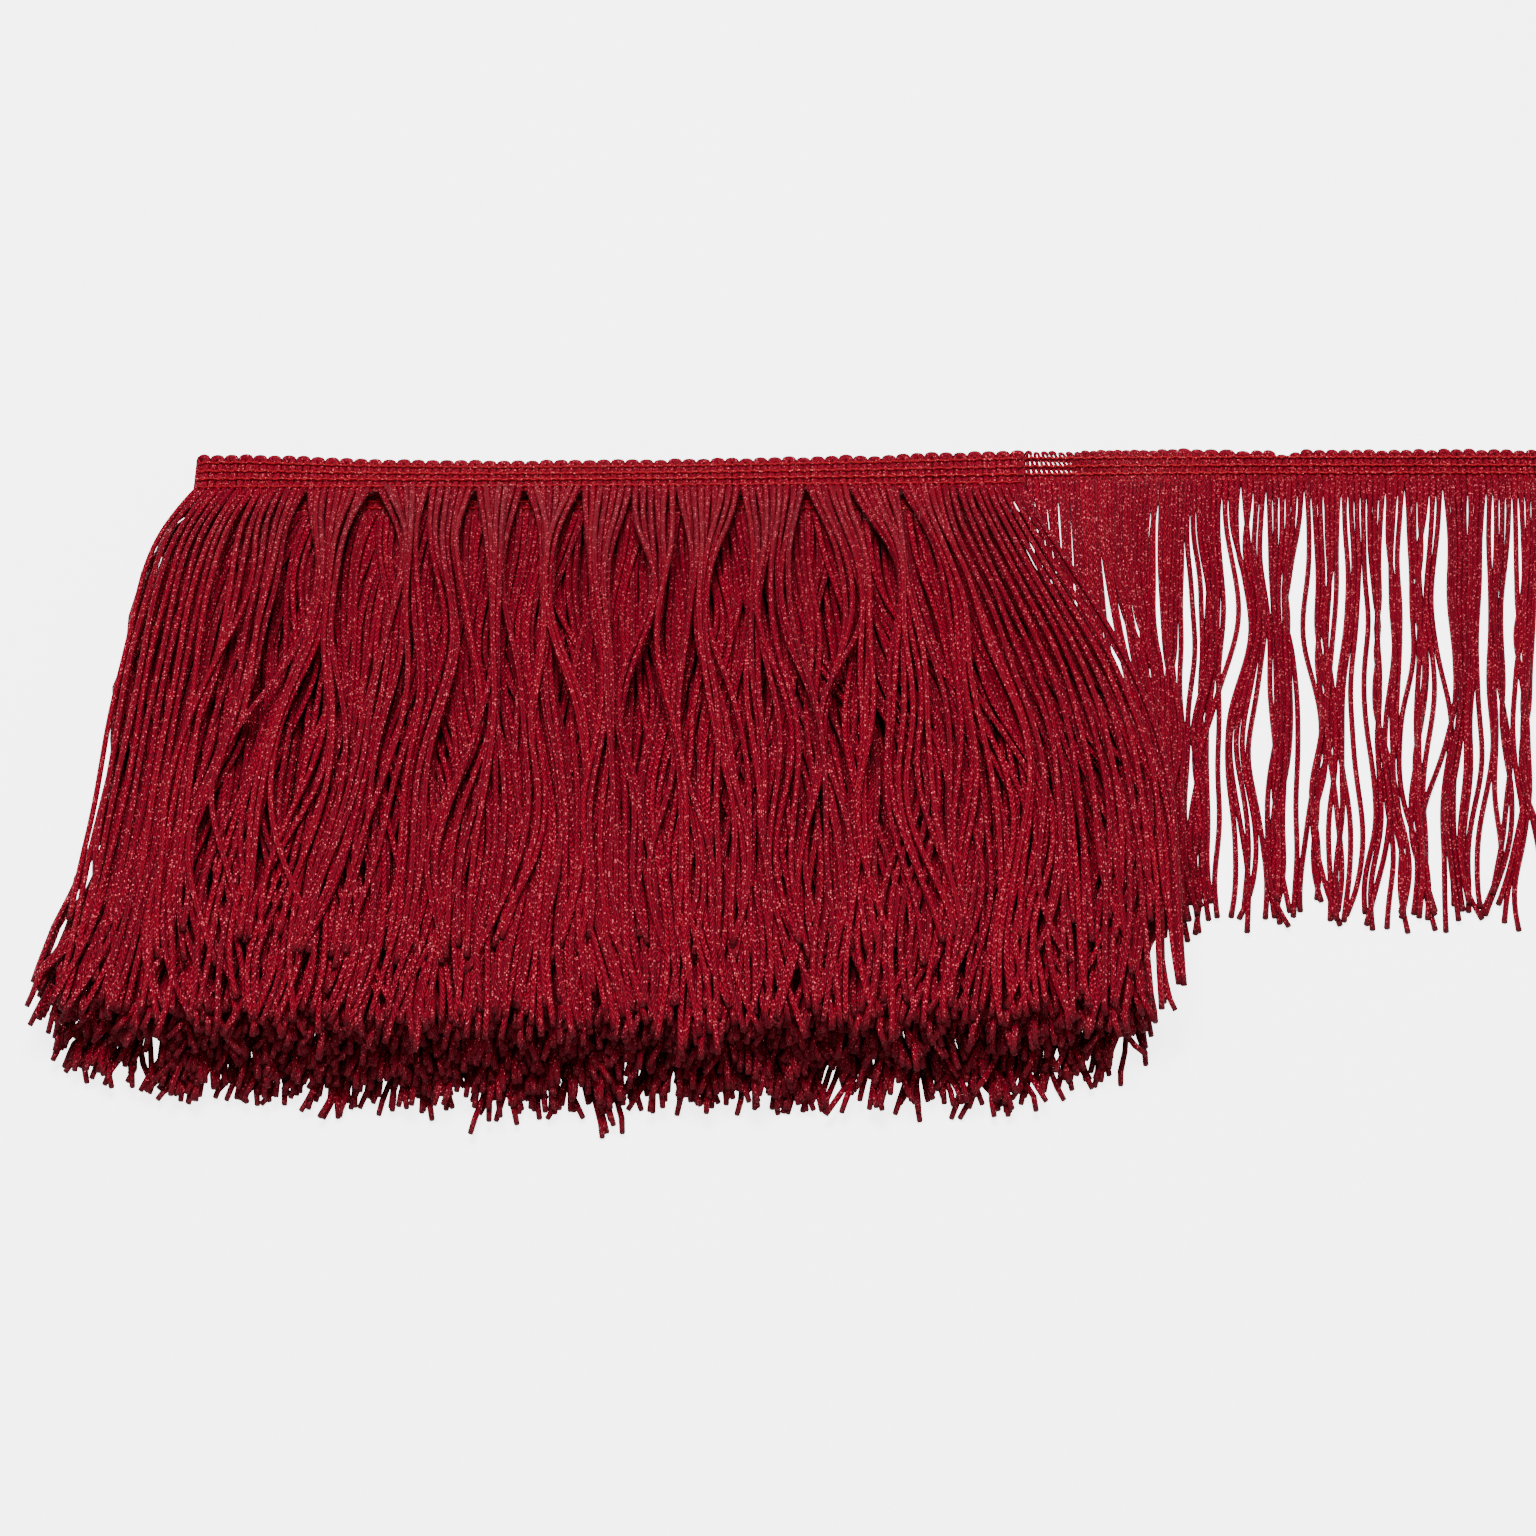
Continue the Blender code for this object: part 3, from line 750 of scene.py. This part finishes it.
def gathered(places, part, stages, hold, draw):
    """Places and lifts by slices of cords that are drawn into bundles, and into other ones further down.

    Each stage says from where to where along the cord its bundles hold, their fewest and most cords, in how
    many layers they lie, how tightly they hold and how far they drift aside. Between two stages a cord
    changes over to its next bundle. hold is the share of all this that each cord takes part in.
    """
    moved = np.repeat(places[:, None], part.shape[1], axis=1)
    lift = np.zeros(part.shape)
    for start, end, fewest, most, layers, pull, drift in stages:
        members = bundles(len(places), fewest, most, draw)
        sizes = np.bincount(members)
        total = len(sizes)
        middles = np.bincount(members, places) / sizes + draw.normal(0, drift, total)
        ranks = ranks_in_bundles(places, members, 1.2, draw)
        target = middles[members] + (ranks - (sizes[members] - 1) / 2) * 1.94 * CORD_RADIUS / layers
        grip = pull * draw.uniform(0.75, 1, total)[members] * hold
        early = draw.uniform(-0.05, 0.05, total)[members][:, None]
        late = draw.uniform(-0.06, 0.06, total)[members][:, None]
        weight = ease((part - start + early) / 0.15) * (1 - ease((part - end + late) / 0.15))
        moved += weight * (grip * (target - places))[:, None]
        lift += weight * (grip * (ranks % layers) * 1.88 * CORD_RADIUS)[:, None]
    return moved, lift


def sway(x, y, reach, widest, longest, draw):
    """Sideways sway that neighbours share: a sum of slow waves over the roll, up to about reach."""
    total = np.zeros(np.broadcast(x, y).shape)
    for wave in range(5):
        across = draw.uniform(0.4, 1) * 2 * math.pi / widest * (1 + wave)
        down = draw.uniform(0.5, 1) * 2 * math.pi / longest * (1 + 0.6 * wave)
        phase = draw.uniform(0, 2 * math.pi)
        total += np.sin(across * x + down * y * draw.choice([-1, 1]) + phase) / (1 + wave)
    return total * reach / 2


def own_wave(count, along, reach, draw, waves_along=(3, 6, 9)):
    """The small waves of each single cord, fading out towards its root."""
    waves = np.zeros((count, np.shape(along)[-1]))
    for turns in waves_along:
        phase = draw.uniform(0, 2 * math.pi, (count, 1))
        rate = turns * draw.uniform(0.75, 1.3, (count, 1))
        waves += draw.uniform(0.4, 1, (count, 1)) * np.sin(2 * math.pi * rate * along + phase) / turns
    return waves_along[0] * reach * waves * ease(along / 0.12)


def turned_ends(count, along, reach, start, draw):
    """The outward turn of each cut end."""
    return draw.normal(0, reach, (count, 1)) * np.clip((along - start) / (1 - start), 0, 1.2) ** 2


# %% Keeping cords out of each other


def settled(x, z, floor, present, free, rounds, sideways_share, sink):
    """Pushes cords that run into each other apart, slice by slice, while they sink onto what carries them.

    x and z are arrays of cords by slices, present says where a cord is, free how far it may move there, and
    floor(x) is the height under it.
    """
    apart = 1.85 * CORD_RADIUS
    far = np.where(present, 0.0, 1e6)
    for turn in range(rounds):
        order = np.argsort(x + far, axis=0)
        sorted_x = np.take_along_axis(x + far, order, 0)
        sorted_z = np.take_along_axis(z, order, 0)
        push_x = np.zeros_like(sorted_x)
        push_z = np.zeros_like(sorted_z)
        for step in range(1, 10):
            gap_x = sorted_x[step:] - sorted_x[:-step]
            gap_z = sorted_z[step:] - sorted_z[:-step]
            distance = np.maximum(np.hypot(gap_x, gap_z), 1e-3)
            short = np.clip(apart - distance, 0, apart) / distance * 0.3
            push_x[step:] += short * gap_x * sideways_share
            push_x[:-step] -= short * gap_x * sideways_share
            upward = np.where(gap_z >= 0, 1, -1) * np.maximum(np.abs(gap_z), 0.35)
            push_z[step:] += short * upward
            push_z[:-step] -= short * upward
        change_x = np.zeros_like(x)
        change_z = np.zeros_like(z)
        np.put_along_axis(change_x, order, push_x, 0)
        np.put_along_axis(change_z, order, push_z, 0)
        x = smoothed(x + free * np.clip(change_x, -0.5, 0.5), present)
        z = smoothed(z + free * (np.clip(change_z, -0.5, 0.5) - sink), present)
        z = np.maximum(z, floor(x))
    return x, z


def smoothed(values, present):
    """Values smoothed along each cord where it is present, with its two ends kept."""
    inner = present[:, 1:-1] & present[:, 2:] & present[:, :-2]
    even = (values[:, 2:] + values[:, :-2]) / 2
    result = values.copy()
    result[:, 1:-1] = np.where(inner, 0.75 * values[:, 1:-1] + 0.25 * even, values[:, 1:-1])
    return result


# %% [markdown]
# ## The fringe of the roll
#
# The roll's fringe fills a soft heap: highest a third of the way down, lower and wider at its front
# corners. The heap has its own coordinates, across, along and level, and cords keep their level in it, so
# they stay in order. Only the upper laps show over their whole length, so they get many more rings than
# the rest.

# %% The shape of the heap


def crown(along):
    return STACK + CROWN_RISE * along - CROWN_FALL * along**2


def right_bow(along):
    """How far the cords beside the ramp have bent outwards, as a share of all they do."""
    return np.sin(math.pi / 2 * np.clip(along / RIGHT_REACH, 0, 1)) ** 1.5


def kept_inside(places, along, level):
    """Places drawn back to the outline of the heap where they would leave it."""
    left = HALF - spread(-1.0, along, level)
    right = HALF + spread(1.0, along, level)
    over = np.maximum(places - right, 0) - np.maximum(-places - left, 0)
    return places - 0.9 * over


def spread(across, along, level):
    """How far to the side the fringe has spread from its roots."""
    along = np.maximum(along, 0)
    left = LEFT_SPREAD * (0.7 * along**0.4 + 0.3 * along**4) * (0.72 + 0.28 * level)
    right = RIGHT_SPREAD * right_bow(along) * (0.75 + 0.25 * level)
    across = np.clip(across, -1.02, 1.02)
    return np.where(across < 0, -left, right) * np.abs(across) ** 2.2


def heap_height(across, along, level):
    return level * crown(along) * (1 - SIDE_DROP * np.minimum(np.abs(across), 1) ** 4 * ease(along))


def heap_reach(across):
    return FRINGE * (1 - CORNER_ROUNDING * np.minimum(np.abs(across), 1) ** 6)


# %% Roots of all cords of the wound laps
root_lengths = np.arange(WOUND_LENGTH - CORD_PITCH / 2, 0, -CORD_PITCH)[::-1]
root_x, root_height, root_skew, _, _ = tape_at(root_lengths)
SIDE_DEPTH = 13.0
TOP_DEPTH = 3.2
at_side = np.abs(root_x) > HALF - SIDE_DEPTH
shown = (root_height > STACK - TOP_DEPTH) & ~at_side
print(len(root_x), "cords in the wound laps,", int(shown.sum()), "on top and",
      int(at_side.sum()), "at the sides")

# %% The buried cords, which show at the cut ends and the sides
FEW_RINGS = np.array([0, 0.1, 0.28, 0.46, 0.62, 0.75, 0.84, 0.9, 0.94, 0.975, 1.0])
MANY_RINGS = np.concatenate([np.linspace(0, 0.84, 18), FEW_RINGS[7:]])


def buried_cords(name, pick, rings, seed):
    draw = np.random.default_rng(seed)
    x, height, skew = root_x[pick], root_height[pick], root_skew[pick]
    order = np.lexsort((x, np.round(height / LAP_PITCH)))
    x, height, skew = x[order], height[order], skew[order]
    count = len(x)
    clump = bundles(count, 3, 9, draw)
    middles = (np.bincount(clump, x) / np.bincount(clump))[clump]
    near = np.abs(x - middles) < 12
    along = rings[None, :]
    level = height[:, None] / STACK
    part = along * draw.normal(1, 0.018, clump[-1] + 1)[clump, None] * draw.normal(1, 0.01, (count, 1))
    shift = sway(x[:, None], 140 * part + 9 * level, 2.6, 60, 90, draw) * ease(part / 0.4)
    shift = shift + own_wave(count, part, 0.9, draw) + turned_ends(count, part, 2.6, 0.8, draw)
    shift = shift + (0.6 * near * (middles - x))[:, None] * ease((part - 0.5) / 0.45)
    shift = shift + (draw.normal(0, 3, clump[-1] + 1)[clump] * near)[:, None] * ease((part - 0.55) / 0.45)
    across = (x[:, None] + shift) / HALF
    tilt = draw.normal(0, 0.03, (count, 1)) * ease(part) + turned_ends(count, part, 0.05, 0.85, draw)
    level = np.clip(level + tilt, 0.02, 1)
    shaded = ease((level - 0.3) / 0.2) * (1 - ease((level - 0.8) / 0.12))
    reach = heap_reach(across) - 4.5 * shaded
    lines = np.stack([
        kept_inside(across * HALF + spread(across, part, level), part, level),
        0.6 - reach * part - skew[:, None],
        np.maximum(heap_height(across, part, level), CORD_RADIUS),
    ], axis=-1)
    radii = np.full(lines.shape[:2], CORD_RADIUS)
    radii[:, -2] *= 1.1
    return sweep(name, lines, radii, 5, SHADED_CORD_YARN, seed=seed)


low_cords = buried_cords("roll_fringe_low", (root_height < STACK / 2) & ~at_side, FEW_RINGS, 31)
high_cords = buried_cords("roll_fringe_high", (root_height >= STACK / 2) & ~shown & ~at_side, FEW_RINGS, 32)
side_cords = buried_cords("roll_fringe_sides", at_side, MANY_RINGS, 36)

# %% The cords on top: those of the upper laps and of the last lap, laid out together
SLICES = np.linspace(0.6, -FRINGE - BASE_SKEW - 6, 56)


FILLERS = 8
TOP_STAGES = [
    (0.02, 0.34, 5, 10, 3, 1.0, 2.6),
    (0.34, 0.62, 3, 9, 3, 0.85, 2.6),
    (0.62, 0.86, 3, 7, 2, 0.7, 2.2),
    (0.86, 1.6, 2, 6, 2, 0.5, 1.6),
]


def top_cords():
    """x and z of every cord on top at each slice, and the y where it starts and where it is cut."""
    draw = np.random.default_rng(33)
    lap_x = np.arange(LAST_LAP_START + CORD_PITCH / 2, RAMP_START, CORD_PITCH)
    # a few cords of the lap below fill the gaps where the last lap spreads at its two sides
    beneath = np.concatenate([lap_x[:FILLERS], lap_x[-FILLERS:]]) + CORD_PITCH / 2
    laps = [(beneath, 1.0, False), (lap_x, 1.06, True)]
    for low, high in ((STACK - TOP_DEPTH, STACK - TOP_DEPTH / 2), (STACK - TOP_DEPTH / 2, STACK)):
        pick = shown & (root_height > low) & (root_height <= high)
        laps.append((np.sort(root_x[pick]), (low + high) / 2 / STACK, False))
    columns = []
    for x, level, is_lap in reversed(laps):
        count = len(x)
        across = x / HALF
        skew = 0 if is_lap else roll_skew(level * STACK)
        reach = heap_reach(across) * (0.925 if is_lap else 0.985) * draw.normal(1, 0.02, count)
        start = np.full(count, 1.2 - skew) + (front_edge(x)[:, 1] if is_lap else 0)
        part = np.clip((start[:, None] - SLICES[None, :]) / FRINGE, 0, 1.2)
        inner = 1 - ease((np.abs(x) - HALF + 30) / 20)
        hold = (1 if is_lap else 0.6) * inner
        places, lift = gathered(x, part, TOP_STAGES, hold, draw)
        places += sway(x[:, None], SLICES[None, :], 6.5, 75, 110, draw) * ease(part / 0.3) * inner[:, None]
        places += own_wave(count, part, 1.0, draw) * between(0.5, 1, inner[:, None])
        strays = draw.uniform(0, 1, (count, 1)) < 0.14
        aside = inner[:, None] * strays * draw.normal(0, 6, (count, 1))
        places += aside * ease((part - draw.uniform(0, 0.5, (count, 1))) / 0.5)
        ends = np.clip((part - reach[:, None] / FRINGE + 0.12) / 0.12, 0, 1) ** 2
        places += draw.normal(0, 2.4, (count, 1)) * ends
        left_edge = -x[0]
        places += spread(np.where(places < 0, 0.97 * places / left_edge, 1.02 * places / HALF), part, 1)
        places = kept_inside(places, part, 1)
        heights = heap_height(across[:, None], part, level)
        heights += strays * draw.uniform(0, 2, (count, 1)) * np.sin(math.pi * np.clip(part, 0, 1))
        root = front_edge(x)[:, 2:] - 0.45 if is_lap else level * STACK
        if is_lap:
            lift += 2.0 * ease((part - 0.02) / 0.12) * (1 - ease((part - 0.5) / 0.35))
        else:
            lift *= 0.5
        heights = between(root, heights, ease(part / 0.12)) + lift - 1.5 * ends
        columns.append((places, heights, start, start - reach, part, np.full(count, is_lap)))
    return [np.concatenate(arrays) for arrays in zip(*columns)]


def heap_floor(x):
    """The height of the heap under the cords on top, at each slice."""
    along = np.clip((0.6 - TOP_SKEW - SLICES) / FRINGE, 0, 1.12)[None, :]
    edge = HALF + np.abs(spread(np.where(x < 0, -1, 1), along, 0.9))
    return heap_height(x / edge, along, 0.9) + CORD_RADIUS


top_x, top_z, top_start, top_end, top_part, top_is_lap = top_cords()
top_present = (SLICES[None, :] <= top_start[:, None] + 2) & (SLICES[None, :] >= top_end[:, None] - 6)
top_free = ease((top_start[:, None] - SLICES[None, :]) / 14)
top_x, top_z = settled(top_x, top_z, heap_floor, top_present, top_free, 34, 0.25, 0.025)
print("laid out", len(top_x), "cords on top, up to", round(float(top_z[top_present].max()), 1), "mm high")

# %% Reading the laid-out cords at their own rings


def lines_through(x, z, start, end, slices, rings):
    """Lines of cords by rings, read from their places at each slice between their start and cut end."""
    shares = np.linspace(0, 1, rings)
    lines = []
    for cord in range(len(x)):
        y = between(start[cord], end[cord], shares)
        at_x = np.interp(-y, -slices, x[cord])
        at_z = np.interp(-y, -slices, z[cord])
        lines.append(np.stack([at_x, y, at_z], axis=-1))
    return smooth_lines(np.array(lines))


def smooth_lines(lines):
    """Takes the corners off lines that were read from slices."""
    for _ in range(2):
        lines[:, 1:-1] = 0.5 * lines[:, 1:-1] + 0.25 * (lines[:, 2:] + lines[:, :-2])
    return lines


def cord_radii(lines):
    """A cord's thickness: wider in the heading's stitches, and a little thicker at its cut end, where the
    yarn frays.
    """
    radii = np.full(lines.shape[:2], CORD_RADIUS)
    radii[:, :4] *= np.array([1.3, 1.3, 1.2, 1.08])
    radii[:, -1] *= 1.1
    return radii


top_lines = lines_through(top_x, top_z, top_start, top_end, SLICES, 46)
lap_lines = top_lines[top_is_lap]
upper_lines = top_lines[~top_is_lap]
last_lap_cords = sweep("last_lap_fringe_cords", lap_lines, cord_radii(lap_lines), 6, SHADED_CORD_YARN, seed=34)
upper_cords = sweep("upper_fringe_cords", upper_lines, cord_radii(upper_lines), 6, SHADED_CORD_YARN, seed=35)

# %% [markdown]
# ## The fringe of the loose end
#
# These cords hang from the ramp or lie flat on the table, in wavy bundles with bare table between them.
# Near the roll they lean away from it, and further out they hang straight. They are laid out as the top
# of the roll was, with the table under them.

# %% Laying out the loose cords
LOOSE_SLICES = np.linspace(LOOSE_SET_BACK + 1, -132, 60)
LOOSE_STAGES = [
    (0.09, 0.44, 3, 7, 2, 0.62, 1.0),
    (0.44, 0.76, 3, 8, 3, 0.66, 1.4),
    (0.76, 1.6, 3, 7, 3, 0.66, 1.6),
]
STRAND_STAGES = [
    (0.03, 0.2, 1, 3, 1, 0.8, 0.5),
    (0.18, 0.4, 1, 3, 1, 0.9, 1.5),
    (0.4, 0.64, 1, 3, 1, 0.9, 1.7),
    (0.64, 0.88, 1, 3, 1, 0.9, 1.7),
]


def shared_wave(count, fewest, most, along, reach, draw, waves_along):
    """Waves that a whole bundle of neighbours makes together."""
    members = bundles(count, fewest, most, draw)
    return own_wave(members[-1] + 1, along, reach, draw, waves_along)[members]


def loose_cords():
    draw = np.random.default_rng(41)
    x = x_at(np.arange(length_at(RAMP_START) + LOOSE_PITCH / 2, length_at(LOOSE_END), LOOSE_PITCH))
    count = len(x)
    root = front_edge(x) + width_direction(x) * 1.0 - np.array([0, 0, 0.3])
    reach = (0.94 * FRINGE - 0.7 * root[:, 2]) * draw.normal(1, 0.022, count)
    start = root[:, 1]
    run = np.maximum(start[:, None] - LOOSE_SLICES[None, :], 0)
    part = run / reach[:, None]
    hold = 0.25 + 0.75 * ease((x - RAMP_START - 4) / 22)
    places, lift = gathered(root[:, 0], part, LOOSE_STAGES, hold, draw)
    finer, _ = gathered(root[:, 0], part, STRAND_STAGES, hold, draw)
    places += finer - root[:, :1]
    away = ((x - RAMP_START) / (LOOSE_END - RAMP_START))[:, None]
    beside_roll = RAMP_LEAN * (1 - ease((x - RAMP_START) / RAMP_LEAN_LENGTH))[:, None]
    bow = right_bow(np.maximum(run - 6, 0) / FRINGE)
    places += beside_roll * bow + between(LOOSE_LEAN / 3, LOOSE_LEAN, away) * part
    places += sway(x[:, None], LOOSE_SLICES[None, :], 1.6, 40, 60, draw) * ease(part / 0.3)
    travelled = np.clip(part, 0, 1.1)
    mean_part = travelled.mean(0)
    rooted = ease(part / 0.14)
    places += shared_wave(count, 3, 8, mean_part, 0.9, draw, (2, 4, 6)) * rooted
    places += shared_wave(count, 1, 3, mean_part, 0.55, draw, (4, 7, 10)) * rooted
    places += own_wave(count, travelled, 0.2, draw, (5, 8, 11))
    strays = draw.uniform(0, 1, (count, 1)) < 0.12
    places += strays * draw.normal(0, 3.5, (count, 1)) * ease((part - 0.3) / 0.5)
    places += draw.normal(0, 1.6, (count, 1)) * np.clip((part - 0.88) / 0.12, 0, 1.2) ** 2
    heights = root[:, 2:] * (1 - ease(run / (12 + 1.1 * root[:, 2:]))) + CORD_RADIUS
    return places, heights, lift, start, start - reach


loose_x, fall_z, loose_lift, loose_start, loose_cut = loose_cords()
after_root = LOOSE_SLICES[None, :] <= loose_start[:, None] + 2
before_cut = LOOSE_SLICES[None, :] >= loose_cut[:, None] - 6
loose_present = after_root & before_cut
loose_free = ease((loose_start[:, None] - LOOSE_SLICES[None, :]) / 12)
loose_x, loose_z = settled(loose_x, fall_z + loose_lift, lambda x: fall_z, loose_present, loose_free,
                           30, 0.3, 0.05)
loose_lines = lines_through(loose_x, loose_z, loose_start, loose_cut, LOOSE_SLICES, 56)
on_ramp = loose_lines[:, 0, 0] < RAMP_END
ramp_cords = sweep("ramp_fringe_cords", loose_lines[on_ramp], cord_radii(loose_lines[on_ramp]), 6,
                   SHADED_CORD_YARN, seed=42)
loose_end_cords = sweep("loose_fringe_cords", loose_lines[~on_ramp], cord_radii(loose_lines[~on_ramp]), 6,
                        SHADED_CORD_YARN, seed=43)

# %% [markdown]
# ## Handing over
#
# Every piece rides on the one body, and the solids that it stands for are hidden. The grounds of the heading
# are the sheets, cut to the heading's depth and to the length of tape in each stretch.

# %% What each piece stands for
STANDS_FOR = {
    wound_ground: ("heading", ["wound_heading"]),
    wound_chain_rows: ("heading", ["wound_heading"]),
    last_lap_heading: ("heading", ["last_lap_heading"]),
    last_lap_chains: ("heading", ["last_lap_heading"]),
    loose_heading: ("heading", ["loose_heading"]),
    loose_chains: ("heading", ["loose_heading"]),
    low_cords: ("fringe", ["roll_fringe_1", "roll_fringe_2"]),
    high_cords: ("fringe", ["roll_fringe_3"]),
    side_cords: ("fringe", ["roll_fringe_2", "roll_fringe_3"]),
    upper_cords: ("fringe", ["roll_fringe_4"]),
    last_lap_cords: ("fringe", ["last_lap_fringe"]),
    ramp_cords: ("fringe", ["ramp_fringe"]),
    loose_end_cords: ("fringe", ["loose_fringe"]),
}
for piece, (material_slot, nodes) in STANDS_FOR.items():
    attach(piece, "root")
    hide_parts(*nodes)

# %% Count the triangles, and finish
print("triangles in all:", sum(triangles(piece.data) for piece in STANDS_FOR))
